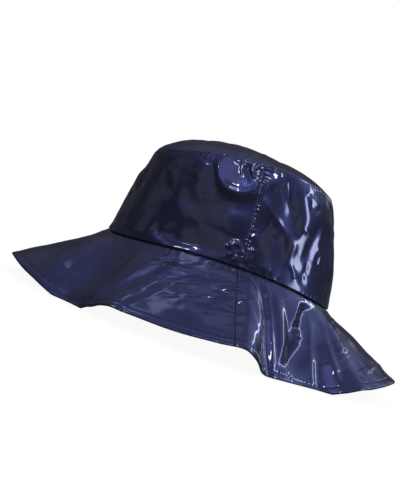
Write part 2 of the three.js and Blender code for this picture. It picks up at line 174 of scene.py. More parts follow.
# Creases of the brim, with the same columns, and points that are azimuths with millimetres
# along the cloth from the seam
BRIM_CREASES = [
    (1.1, 12, 0.9, [(240, 3), (234, 14), (229.5, 30), (227.5, 46), (226.2, 62), (226, 82)]),
    (0.6, 10, 0.7, [(247, 8), (240, 14), (233, 26), (229, 44)]),
    (-1, 16, 2.5, [(242, 22), (239, 40), (237, 62)]),
    (-0.8, 8, 1, [(234, 13.6), (240, 15.5), (246, 14.8), (252, 11.6)]),
    (0.8, 9, 1.2, [(231.6, 21.6), (239, 24.5), (245, 23), (251, 20.8), (257.6, 21.2)]),
    (-0.6, 10, 1.5, [(238, 33), (245, 33), (252, 29), (258, 27)]),
    (-0.8, 7, 1.2, [(256.5, 41), (260, 43), (265, 41)]),
    (0.8, 5, 0.5, [(256, 38), (257.5, 45), (260.5, 49), (265, 49)]),
    (1.6, 4, 0.5, [(261.4, 25), (262.6, 27), (262.8, 30)]),
    (1.4, 3.5, 0.5, [(264.2, 27.5), (265.3, 29)]),
    (1.4, 3.5, 0.5, [(268.9, 35), (270.4, 37.5)]),
    (0.9, 5, 0.4, [(271.5, 3), (274, 15), (276.5, 24), (279, 36), (281, 48)]),
    (-1, 5, 0.6, [(275, 3), (277.5, 14), (280, 24), (283, 40)]),
    (0.8, 5, 0.4, [(279, 2), (281, 10), (284, 18)]),
    (0.8, 5, 0.4, [(269.5, 22), (271.5, 34), (275, 48), (278, 64)]),
    (0.8, 4, 0.4, [(273, 20), (276.5, 34), (280, 46), (284, 56)]),
    (1, 5, 0.6, [(315, 38), (318, 44), (317.5, 50)]),
    (0.8, 5, 0.6, [(311, 56), (313, 62), (312.5, 67)]),
    (0.9, 5, 0.6, [(323, 64), (327, 67), (331, 66)]),
    (1, 9, 1.1, [(333, 5), (332, 24), (333, 42)]),
    (1.1, 10, 1.2, [(352, 8), (349, 30), (345, 56), (343, 76)]),
    (-1, 10, 1.8, [(4, 10), (8, 34), (12, 62)]),
    (1.3, 10, 1.1, [(26, 6), (30, 28), (34, 52), (36, 76)]),
    (-1.4, 9, 1.6, [(52, 10), (54, 34), (56, 60)]),
    (1.4, 9, 1, [(66, 6), (68, 26), (70, 50), (70, 74)]),
    (1, 6, 0.8, [(86, 4), (84, 20), (81, 38)]),
    (1.2, 10, 1.2, [(108, 6), (112, 28), (118, 54), (122, 74)]),
    (-1.2, 11, 1.8, [(128, 12), (132, 38), (135, 66)]),
    (1.3, 10, 1.2, [(156, 8), (158, 30), (160, 56), (162, 78)]),
    (1, 12, 1.6, [(186, 8), (190, 32), (196, 58)]),
    (-0.9, 12, 2, [(204, 12), (208, 36), (210, 62)]),
]

# Creases of the top panel, with points in millimetres back along the hat and across it
TIP_CREASES = [
    (1.1, 4, 0.6, [(-19, -60), (-17, -53), (-19, -46), (-16, -40)]),
    (-0.9, 4, 0.6, [(-13, -61), (-12, -54), (-8, -49)]),
    (1, 4, 0.5, [(-26, -56), (-24, -50), (-27, -43)]),
    (0.8, 4, 0.6, [(-6, -62), (-4, -55), (1, -50)]),
    (1, 10, 1.4, [(-12, -52), (-2, -30), (14, -14)]),
    (-0.9, 11, 1.8, [(24, -48), (16, -26), (24, -4), (44, 8)]),
    (0.9, 12, 1.8, [(-58, 12), (-34, 6), (-12, 18), (6, 40)]),
    (-0.8, 12, 2, [(50, 30), (30, 26), (12, 34)]),
]


def smoothstep(value, low, high):
    t = np.clip((value - low) / (high - low), 0, 1)
    return t * t * (3 - 2 * t)


def bump(distance):
    d = np.minimum(1, np.abs(distance))
    return (1 - d * d) ** 2


def turn_between(start, end):
    """The shortest signed turn from one azimuth to another."""
    return np.mod(end - start + FULL_TURN / 2, FULL_TURN) - FULL_TURN / 2


def section_at(azimuth, column):
    """A slope of BRIM_SECTIONS at any azimuth, on a smooth closed curve."""
    rows = BRIM_SECTIONS
    at = np.mod(azimuth, FULL_TURN)
    after = np.searchsorted(rows[:, 0], at, side="right")

    def row(i):
        lap = np.floor_divide(i, len(rows))
        found = rows[i - lap * len(rows)]
        return found[..., 0] + lap * FULL_TURN, found[..., column]

    (a_at, a), (b_at, b), (c_at, c), (d_at, d) = (row(after + k) for k in (-2, -1, 0, 1))
    span = c_at - b_at
    s = (at - b_at) / span
    leaving = (c - a) / (c_at - a_at) * span
    arriving = (d - b) / (d_at - b_at) * span
    start = (2 * s**3 - 3 * s**2 + 1) * b + (s**3 - 2 * s**2 + s) * leaving
    return start + (3 * s**2 - 2 * s**3) * c + (s**3 - s**2) * arriving


def unit(vectors):
    return vectors / np.linalg.norm(vectors, axis=-1, keepdims=True)


def oval(azimuth, length, width):
    a = np.radians(azimuth)
    across = width / 2 * np.sin(a) * (1 + HEAD_EGG * np.cos(a))
    return np.stack([length / 2 * np.cos(a), across, 0 * a], -1)


def outward_at(azimuth):
    """The level direction that points straight out of the head's oval."""
    step = 0.01
    ahead = oval(azimuth + step, HEAD_LENGTH, HEAD_WIDTH)
    along = ahead - oval(azimuth - step, HEAD_LENGTH, HEAD_WIDTH)
    return unit(np.stack([along[..., 1], -along[..., 0], 0 * along[..., 0]], -1))


def brim_reach(azimuth, along):
    """How far the brim has gone out and down at a distance along its cloth, and its slope."""
    root = np.radians(section_at(azimuth, 1))
    bend = (np.radians(section_at(azimuth, 2)) - root) / BRIM_WIDTH
    straight = 1e-7
    bend = np.where(np.abs(bend) < straight, straight, bend)
    slope = root + bend * along
    return (np.sin(slope) - np.sin(root)) / bend, (np.cos(root) - np.cos(slope)) / bend, slope


def arch_at(azimuth):
    return SEAM_ARCH * np.sin(np.radians(azimuth)) ** 2


def resting_heights():
    """Heights of the brim seam at front and back from which the low lobes press on the table."""
    backness = (1 + np.cos(np.radians(EVERY_DEGREE))) / 2
    _, down, slope = brim_reach(EVERY_DEGREE, BRIM_WIDTH)
    front = back = BRIM_WIDTH / 2
    rounds = 30
    for _ in range(rounds):
        seam = front + (back - front) * backness + arch_at(EVERY_DEGREE)
        hem = seam - GAP - down - HEM_WALL * np.cos(slope)
        lowest = hem[backness < 0.5].min(), hem[backness >= 0.5].min()
        front -= lowest[0] + REST_PRESS
        back -= lowest[1] + REST_PRESS
    return front, back


FRONT_SEAM, BACK_SEAM = resting_heights()


def seam_height(azimuth):
    backness = (1 + np.cos(np.radians(azimuth))) / 2
    return FRONT_SEAM + (BACK_SEAM - FRONT_SEAM) * backness + arch_at(azimuth)


def tip_height(x, share):
    front, back = FRONT_SEAM + FRONT_HEIGHT, BACK_SEAM + BACK_HEIGHT
    backness = x / (TIP_LENGTH / 2)
    level = (front + back) / 2 + (back - front) / 2 * backness
    drop = FRONT_DROP * np.maximum(0, -backness) ** 4
    dome = DOME_RISE * (1 - share**DOME_POWER)
    return level + TIP_ARCH * (1 - backness**2) - drop + dome


def crown_dent(azimuth, share, dents):
    """Depth of the crown's dents, in the unit of the table's last column."""
    total = 0
    for at, height, width, tall, lean, depth in dents:
        across = turn_between(at + lean * (share - height), azimuth) / width
        total = total + depth * bump(across) * bump((share - height) / tall)
    return total


def brim_fold(azimuth, share):
    total = 0
    for seam, hem, width, deepest, depth in BRIM_FOLDS:
        across = turn_between(seam + (hem - seam) * share, azimuth) / width
        reach = max(deepest, 1 - deepest) * 1.2
        total = total + depth * bump(across) * bump((share - deepest) / reach)
    return total


def brim_step(azimuth, along):
    """How deep the cloth lies in the long fold of the brim."""
    brinks = [np.array(line, float) for line in (FOLD_LEFT, FOLD_RIGHT)]
    left, right = (np.interp(along, line[:, 1], line[:, 0]) for line in brinks)
    down = smoothstep(turn_between(left, azimuth), 0, right - left)
    up = smoothstep(turn_between(right, azimuth), 0, FOLD_RETURN)
    lengthwise = smoothstep(along, *FOLD_START) * (1 - smoothstep(along, *FOLD_END))
    return FOLD_DROP * down * (1 - up) * lengthwise


def brim_hollow(azimuth, along):
    """How deep the cloth lies in the brim's fold and hollows together."""
    total = brim_step(azimuth, along)
    for at, middle, width, length, depth in BRIM_HOLLOWS:
        across = turn_between(at, azimuth) / width
        total = total + depth * bump(across) * bump((along - middle) / length)
    return total


def between_seams(share, edge):
    return smoothstep(share, 0, edge) * (1 - smoothstep(share, 1 - edge, 1))


def crown_form(azimuth, share):
    """The crown's side before its creases, from the brim seam (0) to the top seam (1)."""
    foot = oval(azimuth, HEAD_LENGTH, HEAD_WIDTH)
    tip = oval(azimuth, TIP_LENGTH, TIP_WIDTH)
    foot[..., 2] = seam_height(azimuth)
    tip[..., 2] = tip_height(tip[..., 0], 1)
    tip[..., 0] -= TIP_FORWARD
    bent = np.sign(share) * np.abs(share) ** SHOULDER_POWER
    inward = (1 - SHOULDER_SHARE) * share + SHOULDER_SHARE * bent
    point = foot + (tip - foot) * inward[..., None]
    point[..., 2] = foot[..., 2] + (tip[..., 2] - foot[..., 2]) * share
    dent = DENT_DEPTH * crown_dent(azimuth, share, CROWN_DENTS) * between_seams(share, DENT_MARGIN)
    return point - dent[..., None] * outward_at(azimuth)


def normal_of(surface, azimuth, along, step):
    ring = surface(azimuth + AZIMUTH_STEP, along) - surface(azimuth - AZIMUTH_STEP, along)
    rise = surface(azimuth, along + step) - surface(azimuth, along - step)
    return unit(np.cross(ring, rise))


def inside_form(azimuth, share):
    inset = CROWN_WALL + GAP
    return crown_form(azimuth, share) - inset * normal_of(crown_form, azimuth, share, SHARE_STEP)


def brim_form(azimuth, along):
    """The brim's upper side before its creases. Below 0 it is the allowance in the crown."""
    start = inside_form(azimuth, np.maximum(0, -along) / SIDE_HEIGHT)
    ahead = np.maximum(along, 0)
    out, down, slope = brim_reach(azimuth, ahead)
    share = ahead / BRIM_WIDTH
    fold = FOLD_DEPTH * brim_fold(azimuth, share) * smoothstep(share, 0, 0.3)
    point = start + outward_at(azimuth) * (out - fold * np.sin(slope))[..., None]
    point[..., 2] -= np.where(along < 0, 0, GAP + down + fold * np.cos(slope))
    return point


class Ripples:
    """Even, seeded unevenness of the cloth: waves of about one length in all directions."""

    SPREAD = (0.7, 1.35)  # shares of the middle frequency between which the waves' own lie

    def __init__(self, seed, wavelength, waves=22):
        rng = np.random.default_rng(seed)
        self.turns = unit(rng.normal(size=(waves, 3)))
        self.turns *= (2 * math.pi / wavelength) * rng.uniform(*self.SPREAD, (waves, 1))
        self.phases = rng.uniform(0, 2 * math.pi, waves)
        self.size = math.sqrt(2 / waves)

    def at(self, points):
        return self.size * np.sin(points @ self.turns.T + self.phases).sum(-1)


LONG_RIPPLES = Ripples(3, 60)
MIDDLE_RIPPLES = Ripples(5, 24)
FINE_RIPPLES = Ripples(13, 9)


class Crumple:
    """Flat facets with soft-edged creases between them, from a few slanting zigzags."""

    SPREAD = (0.7, 1.6)  # shares of the middle wavelength between which the folds' own lie
    FIRST_ANGLE, ANGLES = 25, 130  # degrees: where the folds' directions start, and their span
    WANDER = 0.9  # how much the folds bend with the cloth's longer waves
    SHARPNESS = 0.98  # 1 would be a zigzag with sharp corners

    def __init__(self, seed, wavelength, folds=5):
        rng = np.random.default_rng(seed)
        self.lengths = wavelength * rng.uniform(*self.SPREAD, folds)
        places = (np.arange(folds) + rng.uniform(0, 0.7, folds)) / folds
        self.angles = np.radians(self.FIRST_ANGLE + self.ANGLES * places)
        self.phases = rng.uniform(0, 2 * math.pi, folds)

    def at(self, x, y, bends):
        total = 0
        folds = zip(self.lengths, self.angles, self.phases)
        for number, (length, angle, phase) in enumerate(folds):
            along = (x * math.cos(angle) + y * math.sin(angle)) * 2 * math.pi / length
            wave = np.sin(along + phase + self.WANDER * bends[number % 2])
            total = total + length * np.arcsin(self.SHARPNESS * wave)
        return total / math.pi


CRUMPLE = Crumple(8, 52)
CRUMPLED_PARTS = Ripples(34, 110, 12)
LONG_RISE, MIDDLE_RISE, FINE_RISE = 0.3, 0.07, 0.01  # of the three sets of ripples
LEAST_CRUMPLED = 0.35

# Where the coating lies calmer: azimuth, half width in degrees, share of unevenness taken off
CROWN_CALM = [(304, 30, 0.75)]
BRIM_CALM = [(304, 30, 0.6), (244, 24, 0.7)]


def vinyl_unevenness(points, x, y, slope):
    """Height of the soft waves and flat-sided crumples of a vinyl panel."""
    long_bend, short_bend = LONG_RIPPLES.at(points), MIDDLE_RIPPLES.at(points)
    waves = LONG_RISE * long_bend + MIDDLE_RISE * short_bend + FINE_RISE * FINE_RIPPLES.at(points)
    part = smoothstep(CRUMPLED_PARTS.at(points), -0.6, 0.9)
    crumpled = LEAST_CRUMPLED + (1 - LEAST_CRUMPLED) * part
    return waves + slope * crumpled * CRUMPLE.at(x, y, (long_bend, 0.5 * short_bend - long_bend))


def calmness(azimuth, places):
    """The share of its unevenness that the coating keeps at an azimuth."""
    kept = 1
    for middle, half_width, taken in places:
        kept = kept - taken * bump(turn_between(middle, azimuth) / half_width)
    return kept


def puckers(along_seam, from_seam, seed, pitch, reach, height):
    """Short gathers across a seam that die away from it."""
    rng = np.random.default_rng(seed)
    phases = rng.uniform(0, 2 * math.pi, 7)
    wobble = 0.5 * pitch * np.sin(along_seam / (pitch * 1.9) + phases[0])
    wobble = wobble + 0.4 * pitch * np.sin(along_seam / (pitch * 0.83) + phases[1])
    at = along_seam + wobble + 0.25 * from_seam * np.sin(along_seam / 11 + phases[2])
    wave = np.sin(2 * math.pi * at / pitch + phases[3])
    strength = np.sin(along_seam / (pitch * 1.3) + phases[4])
    strength = strength + np.sin(along_seam / (pitch * 2.9) + phases[5])
    reach = reach * (1 + 0.5 * np.sin(along_seam / (pitch * 1.1) + phases[6]))
    near = np.exp(-((from_seam / reach) ** 1.3)) * smoothstep(from_seam, 0, 0.9)
    return height * wave * smoothstep(strength, -1.2, 1.4) * near


def seam_puckers(along_seam, from_seam, seed, **gathers):
    """Gathers on both sides of a seam, which differ from one side to the other."""
    total = 0
    for side in (-1, 1):
        one_side = puckers(along_seam, np.abs(from_seam), seed + side, **gathers)
        total = total + np.where(from_seam * side >= 0, one_side, 0)
    return total


def rounded_line(points, per_part=6):
    """The points of a crease with a smooth curve through them."""
    p = np.array(points, float)
    p = np.vstack([2 * p[0] - p[1], p, 2 * p[-1] - p[-2]])
    t = np.linspace(0, 1, per_part, endpoint=False)[:, None]
    parts = []
    for a, b, c, d in zip(p[:-3], p[1:-2], p[2:-1], p[3:]):
        parts.append(0.5 * (2 * b + (c - a) * t + (2 * a - 5 * b + 4 * c - d) * t**2
                            + (3 * b - a - 3 * c + d) * t**3))
    return np.vstack([*parts, p[-2:-1]])


# A crease rises over the first share of its length, falls from the second share on, and has
# this share of its height left at its ends
RISING_SHARE = 0.22
FALLING_SHARE = 0.7
END_HEIGHT = 0.12


def crease_relief(creases, x, y, place):
    """Height of the creases at x, y in millimetres. place turns a crease's points to those."""
    total = np.zeros(x.size)
    x, y, shape = x.ravel(), y.ravel(), x.shape
    for height, breadth, radius, points in creases:
        line = place(rounded_line(points))
        margin = breadth + radius
        low, high = line.min(0) - margin, line.max(0) + margin
        near = np.flatnonzero((x > low[0]) & (x < high[0]) & (y > low[1]) & (y < high[1]))
        lengths = np.linalg.norm(np.diff(line, axis=0), axis=1)
        nearest = np.full(near.size, np.inf)
        gone = np.zeros(near.size)
        befores = np.cumsum(lengths) - lengths
        for start, end, length, before in zip(line, line[1:], lengths, befores):
            way = (end - start) / length
            from_x, from_y = x[near] - start[0], y[near] - start[1]
            t = np.clip(from_x * way[0] + from_y * way[1], 0, length)
            d = np.hypot(from_x - t * way[0], from_y - t * way[1])
            closer = d < nearest
            nearest = np.where(closer, d, nearest)
            gone = np.where(closer, (before + t) / lengths.sum(), gone)
        fall = np.sqrt(nearest**2 + radius**2) - radius
        tent = np.maximum(0, 1 - fall / breadth) ** 2
        middle = smoothstep(gone, 0, RISING_SHARE) * (1 - smoothstep(gone, FALLING_SHARE, 1))
        total[near] += height * tent * (END_HEIGHT + (1 - END_HEIGHT) * middle)
    return total.reshape(shape)


def scattered_buckles(seed, count, degree, rise, low, high):
    """Short curved creases all round a panel, at heights from low to high of the given rise."""
    rng = np.random.default_rng(seed)
    buckles = []
    for _ in range(count):
        azimuth, middle = rng.uniform(0, FULL_TURN), rng.uniform(low, high)
        angle, bow = rng.uniform(0, math.pi), rng.uniform(-0.6, 0.6)
        length = rng.uniform(5, 12)
        points = []
        for step in (-1, 0, 1):
            turn = angle + bow * step
            along_x, along_y = length * step * math.cos(turn), length * step * math.sin(turn)
            points.append((azimuth + along_x / degree, middle + along_y / rise))
        height = rng.choice([-1, 1]) * rng.uniform(0.25, 0.6)
        breadth = rng.uniform(3, 6)
        radius = rng.uniform(0.4, 0.8)
        buckles.append((height, breadth, radius, points))
    return buckles


def unrolled(azimuths, seam):
    """The turns from a seam of points that lie close together."""
    first = azimuths[0]
    return np.mod(first - seam, FULL_TURN) + turn_between(first, azimuths)


CROWN_BUCKLES = scattered_buckles(17, 46, CROWN_DEGREE, SIDE_HEIGHT, 0.12, 0.9)

# The flap of cloth pushed out under the top seam, left of the side seam: azimuths and the
# shares where its lower edge lies
FLAP_EDGE = [
    (236, 0.98), (239, 0.94), (241.5, 0.87), (244, 0.78), (249, 0.7), (257, 0.68), (265, 0.735),
    (272, 0.8),
]
FLAP_HEIGHT = 2.2
FLAP_FOOT = 9  # it falls away over this length below its edge
FLAP_LEFT = (237, 243)  # and between these azimuths to its left
FLAP_RIGHT = (264, 270)
FLAP_RIM_DIP = 0.14  # share of its height by which its edge is pressed in
FLAP_RIM_WIDTH = 0.9


def flap(azimuth, share):
    """How far the flap stands out."""
    edge = np.interp(azimuth, *rounded_line(FLAP_EDGE, 12).T)
    above = np.clip((1 - share) / (1 - edge), 0, 1)
    below = 1 - smoothstep((edge - share) * SIDE_HEIGHT, 0, FLAP_FOOT)
    crest = (share - edge) * SIDE_HEIGHT
    pressed = FLAP_RIM_DIP * np.exp(-((crest / FLAP_RIM_WIDTH) ** 2))
    rounded = np.where(crest > 0, above, below) - pressed
    sides = smoothstep(azimuth, *FLAP_LEFT) * (1 - smoothstep(azimuth, *FLAP_RIGHT))
    return FLAP_HEIGHT * rounded * sides


def crown_relief(azimuth, share):
    """How far the crown's cloth stands out of its form."""
    x = np.mod(azimuth - CROWN_SEAMS[0], FULL_TURN) * CROWN_DEGREE
    y = share * SIDE_HEIGHT

    def place(line):
        across = unrolled(line[:, 0], CROWN_SEAMS[0]) * CROWN_DEGREE
        return np.stack([across, line[:, 1] * SIDE_HEIGHT], 1)

    relief = crease_relief(CROWN_CREASES + CROWN_BUCKLES, x, y, place)
    slope = 0.022 * calmness(azimuth, CROWN_CALM)
    relief = relief + vinyl_unevenness(crown_form(azimuth, share), x, y, slope)
    at_seams = 0.1
    relief = relief * (at_seams + (1 - at_seams) * between_seams(share, 0.08))
    hollow = crown_dent(azimuth, share, CROWN_HOLLOWS)
    relief = relief - hollow * between_seams(share, DENT_MARGIN)
    relief = relief + flap(np.mod(azimuth, FULL_TURN), share)
    narrowing = 1.05 - 0.22 * share
    for number, seam in enumerate(CROWN_SEAMS):
        from_seam = turn_between(seam, azimuth) * CROWN_DEGREE * narrowing
        relief = relief + seam_puckers(
            y, from_seam, 31 + number * 2, pitch=3.4, reach=1.9, height=0.5)
    foot, top = np.maximum(y, 0), np.maximum(SIDE_HEIGHT - y, 0)
    relief = relief + puckers(
        azimuth * SEAM_DEGREE, foot, seed=41, pitch=8.5, reach=3.6, height=0.5)
    return relief + puckers(
        azimuth * TIP_SEAM_DEGREE, top, seed=43, pitch=6.2, reach=4.5, height=0.36)


def seam_at(seam, along):
    """A brim seam's azimuth at a distance along the brim."""
    return seam[0] + (seam[1] - seam[0]) * np.clip(along / BRIM_WIDTH, 0, 1)


def brim_degree(along):
    """Millimetres of the brim to a degree at a distance from the seam."""
    return BRIM_DEGREE + BRIM_DEGREE_GAIN * np.maximum(along, 0)


BRIM_BUCKLES = scattered_buckles(23, 34, 2.1, 1, 8, 68)
STITCH_PULL, STITCH_PULL_WIDTH = 0.22, 0.7  # the stitches draw the hem in
HEM_SWELL, HEM_SWELL_WIDTH = 0.12, 3  # and it swells between them and its edge


def brim_relief(azimuth, along):
    """How far the brim's cloth stands up from its form."""
    first_seam = BRIM_SEAMS[0][0]
    at = np.mod(azimuth - first_seam, FULL_TURN)
    x = at * brim_degree(along)

    def place(line):
        across = unrolled(line[:, 0], first_seam) * brim_degree(line[:, 1])
        return np.stack([across, line[:, 1]], 1)

    relief = crease_relief(BRIM_CREASES + BRIM_BUCKLES, x, along, place)
    slope = 0.012 * calmness(azimuth, BRIM_CALM)
    elsewhere = brim_form(azimuth, along) * 0.92 + 40  # so that the crown's ripples don't repeat
    relief = relief + vinyl_unevenness(elsewhere, at * 2.1, along, slope)
    relief = relief - brim_hollow(azimuth, along)
    relief = relief * smoothstep(along, 0, 10) * (1 - 0.75 * smoothstep(along, 66, 80))
    from_crown = np.maximum(along, 0)
    relief = relief + puckers(
        azimuth * SEAM_DEGREE, from_crown, seed=51, pitch=7.4, reach=8, height=0.3)
    for number, seam in enumerate(BRIM_SEAMS):
        from_seam = turn_between(seam_at(seam, along), azimuth) * brim_degree(along)
        relief = relief + seam_puckers(
            along, from_seam, 61 + number * 2, pitch=8.2, reach=6, height=0.13)
    from_stitches = along - STITCH_LINE
    pulled_in = STITCH_PULL * np.exp(-((from_stitches / STITCH_PULL_WIDTH) ** 2))
    gathers = puckers(
        azimuth * STITCH_DEGREE, np.abs(from_stitches), seed=71, pitch=4.6, reach=3.4, height=0.16)
    hem_middle = along - (STITCH_LINE + BRIM_WIDTH) / 2
    return relief - pulled_in + gathers + HEM_SWELL * bump(hem_middle / HEM_SWELL_WIDTH)


def crown_cloth(azimuth, share):
    lift = crown_relief(azimuth, share)[..., None]
    return crown_form(azimuth, share) + lift * normal_of(crown_form, azimuth, share, SHARE_STEP)


LYING_SHARE = 0.98  # share of the hem's thickness at which its upper side lies on the table


def brim_cloth(azimuth, along):
    """The brim's upper side with its creases, lying on the table where it would sink in."""
    lift = brim_relief(azimuth, along)[..., None]
    point = brim_form(azimuth, along) - lift * normal_of(brim_form, azimuth, along, BRIM_STEP)
    point[..., 2] = np.maximum(point[..., 2], HEM_WALL * LYING_SHARE)
    return point


def tip_form(azimuth, share):
    ring = oval(azimuth, TIP_LENGTH, TIP_WIDTH) * share[..., None]
    return np.stack([ring[..., 0] - TIP_FORWARD, ring[..., 1], tip_height(ring[..., 0], share)], -1)


def tip_relief(azimuth, share):
    ring = oval(azimuth, TIP_LENGTH, TIP_WIDTH) * share[..., None]
    x, y = ring[..., 0], ring[..., 1]
    relief = crease_relief(TIP_CREASES, x, y, lambda line: line)
    elsewhere = tip_form(azimuth, share) + 90  # so that the crown's ripples don't repeat
    relief = relief + vinyl_unevenness(elsewhere, x, y, slope=0.018)
    from_seam = (1 - share) * TIP_WIDTH / 2
    relief = relief * smoothstep(from_seam, 0, 5)
    return relief + puckers(
        azimuth * TIP_DEGREE, from_seam, seed=81, pitch=6.2, reach=6, height=0.34)


def tip_cloth(azimuth, share):
    lift = tip_relief(azimuth, share)[..., None]
    return tip_form(azimuth, share) + lift * np.array([0, 0, 1.0])


def plan_middle():
    """Middle of the hat's box in plan, from its hem."""
    hem = brim_form(EVERY_DEGREE, np.full_like(EVERY_DEGREE, BRIM_WIDTH))
    low, high = hem.min(0), hem.max(0)
    return np.array([(low[0] + high[0]) / 2, (low[1] + high[1]) / 2, 0])


MIDDLE = plan_middle()

EDGE_ROLL = 0.75  # a panel's edge turns into its seam with this radius
EDGE_STEPS = 5
EDGE_FIN = 2.6  # and goes this far on inside the hat
SEAM_SLIT = 0.05
CLOSER_SHARE = 0.45  # by how much columns are closer together at a panel's close end
TABLE_CLEARANCE = 0.02
TIP_STEPS = 9
TIP_FIN_SHARES = (0.96, 0.93, 0.9)  # rows of the top panel's allowance, on the crown's side


def edge_profile():
    """Distances from a seam and depths below the cloth, where a panel turns into its seam."""
    angles = np.linspace(math.pi / 2, 0, EDGE_STEPS)
    across = SEAM_SLIT + EDGE_ROLL * (1 - np.sin(angles))
    depth = EDGE_ROLL * (1 - np.cos(angles))
    return np.r_[SEAM_SLIT, across], np.r_[EDGE_ROLL + EDGE_FIN, depth]


def panel_columns(surface, start, end, along, count, closer):
    """Azimuths of a panel's columns in each row, and their depths in the two side seams.

    The columns lie closer together near the panel's end, or with -1 near its start.
    """
    across, depth = edge_profile()
    half_degree = 0.5
    azimuth, sunk = [], []
    for row in along:
        speeds = []
        first, last = start(row), end(row)
        for seam in (first, last):
            beside = np.array([seam - half_degree, seam + half_degree])
            pair = surface(beside, np.full(2, float(row)))
            speeds.append(np.linalg.norm(pair[1] - pair[0]))
        left = first + across / speeds[0]
        right = last - across[::-1] / speeds[1]
        way = np.linspace(0, 1, count + 2)[1:-1]
        way = way + closer * CLOSER_SHARE * np.sin(math.pi * way) / math.pi
        middle = left[-1] + (right[0] - left[-1]) * way
        azimuth.append(np.r_[left, middle, right])
        sunk.append(np.r_[depth, np.zeros(count), depth[::-1]])
    return np.array(azimuth), np.array(sunk)


def grid_normals(points, ring=False):
    """Normals of a grid of points from its own steps, outward where rows run up the hat."""
    if ring:
        around = np.roll(points, -1, 1) - np.roll(points, 1, 1)
    else:
        around = np.gradient(points, axis=1)
    rise = np.gradient(points, axis=0)
    return unit(np.cross(around, rise) + 1e-12)


def make_mesh(name, points, faces, materials, inner_faces=()):
    """A piece from points in millimetres. The inner faces have the second material."""
    mesh = bpy.data.meshes.new(name)
    mesh.from_pydata([tuple(p) for p in (points - MIDDLE) * MM], [], faces)
    for material in materials:
        mesh.materials.append(material)
    mesh.polygons.foreach_set("use_smooth", [True] * len(faces))
    if len(inner_faces):
        slots = np.zeros(len(faces), int)
        slots[np.asarray(inner_faces)] = 1
        mesh.polygons.foreach_set("material_index", slots)
    mesh.validate()
    piece = bpy.data.objects.new(name, mesh)
    bpy.context.scene.collection.objects.link(piece)
    return piece


def grid_faces(rows, columns, first, ring, turned):
    """Faces of a grid of points, of which the first has the number given."""
    spans = columns if ring else columns - 1
    row, column = np.meshgrid(np.arange(rows - 1), np.arange(spans), indexing="ij")
    here, above = row * columns, (row + 1) * columns
    after = (column + 1) % columns
    corners = [here + column, here + after, above + after, above + column]
    faces = np.stack([c.ravel() + first for c in corners], 1)
    return faces[:, ::-1] if turned else faces


def edge_faces(near, far, under, turned):
    """Faces that join an edge of the outer grid to the same edge of the inner one."""
    faces = np.stack([near, far, far + under, near + under], 1)
    return faces if turned else faces[:, ::-1]


def cloth_panel(name, outer, inner, materials, ring=False, turned=False):
    """A panel with an outer and an inner face, closed all round. Rows run round the hat."""
    rows, columns = outer.shape[:2]
    start = rows * columns
    over = grid_faces(rows, columns, 0, ring, turned)
    under = grid_faces(rows, columns, start, ring, not turned)
    edges = []
    column = np.arange(columns if ring else columns - 1)
    after = (column + 1) % columns
    for row, back in ((0, False), (rows - 1, True)):
        first = row * columns
        edges.append(edge_faces(first + column, first + after, start, back != turned))
    if not ring:
        first = np.arange(rows - 1) * columns
        for side, back in ((0, True), (columns - 1, False)):
            near = first + side
            edges.append(edge_faces(near, near + columns, start, back != turned))
    points = np.concatenate([outer.reshape(-1, 3), inner.reshape(-1, 3)])
    faces = np.concatenate([over, under, *edges])
    inner_faces = np.arange(len(over), len(over) + len(under))
    return make_mesh(name, points, faces.tolist(), materials, inner_faces)


def crown_side_panel(name, start, end, closer, materials):
    """A side panel of the crown, with all four edges turned into their seams."""
    across, depth = edge_profile()
    count = 150
    middle = np.linspace(across[-1], SIDE_HEIGHT - across[-1], count + 2)[1:-1]
    along = np.r_[across[1:], middle, SIDE_HEIGHT - across[1:][::-1]]
    sunk_rows = np.r_[depth[1:], np.zeros(count), depth[1:][::-1]]
    share = along / SIDE_HEIGHT
    columns = 285
    left, right = (lambda row: start), (lambda row: end)
    azimuth, sunk = panel_columns(crown_form, left, right, share, columns, closer)
    shares = np.repeat(share[:, None], azimuth.shape[1], 1)
    outer = crown_cloth(azimuth, shares)
    depths = np.maximum(sunk, sunk_rows[:, None])
    normals = normal_of(crown_form, azimuth, shares, SHARE_STEP)
    outer = outer - depths[..., None] * normals
    seen_wall = 0.75 * CROWN_WALL
    inner = outer - seen_wall * grid_normals(outer)
    return cloth_panel(name, outer, inner, materials)


def brim_panel(name, start, end, closer, materials):
    """A half of the brim, with its allowance inside the crown and its rounded hem."""
    rounding = HEM_WALL / 2
    count = 128
    allowance = [-SEAM_ALLOWANCE + 1, -5, -2.5, -1, -0.3, 0.1]
    flat = np.linspace(0.6, BRIM_WIDTH - rounding, count)
    angles = np.linspace(0, math.pi / 2, EDGE_STEPS)[1:]
    along = np.r_[allowance, flat, BRIM_WIDTH - rounding * (1 - np.sin(angles))]
    rounded = np.r_[np.zeros(len(allowance) + count), rounding * (1 - np.cos(angles))]
    columns = 330
    left, right = (lambda row: seam_at(start, row)), (lambda row: seam_at(end, row))
    azimuth, sunk = panel_columns(brim_form, left, right, along, columns, closer)
    alongs = np.repeat(along[:, None], azimuth.shape[1], 1)
    fin, hem_fin = 3.4, 1.8
    sunk = np.minimum(sunk, fin - (fin - hem_fin) * smoothstep(alongs, 68, 76))
    top = brim_cloth(azimuth, alongs)
    normals = normal_of(brim_form, azimuth, np.maximum(alongs, 0.5), BRIM_STEP)
    hem_start = BRIM_WIDTH - HEM_WIDTH
    in_hem = smoothstep(alongs, hem_start - 0.5, hem_start + 0.4)
    wall = BRIM_WALL + (HEM_WALL - BRIM_WALL) * in_hem
    depth = np.maximum(sunk, rounded[:, None])
    outer = top + depth[..., None] * normals
    under = np.maximum(wall - rounded[:, None], sunk + 0.02)
    inner = top + under[..., None] * normals
    for side in (outer, inner):
        side[..., 2] = np.maximum(side[..., 2], TABLE_CLEARANCE)
    return cloth_panel(name, outer, inner, materials, turned=True)


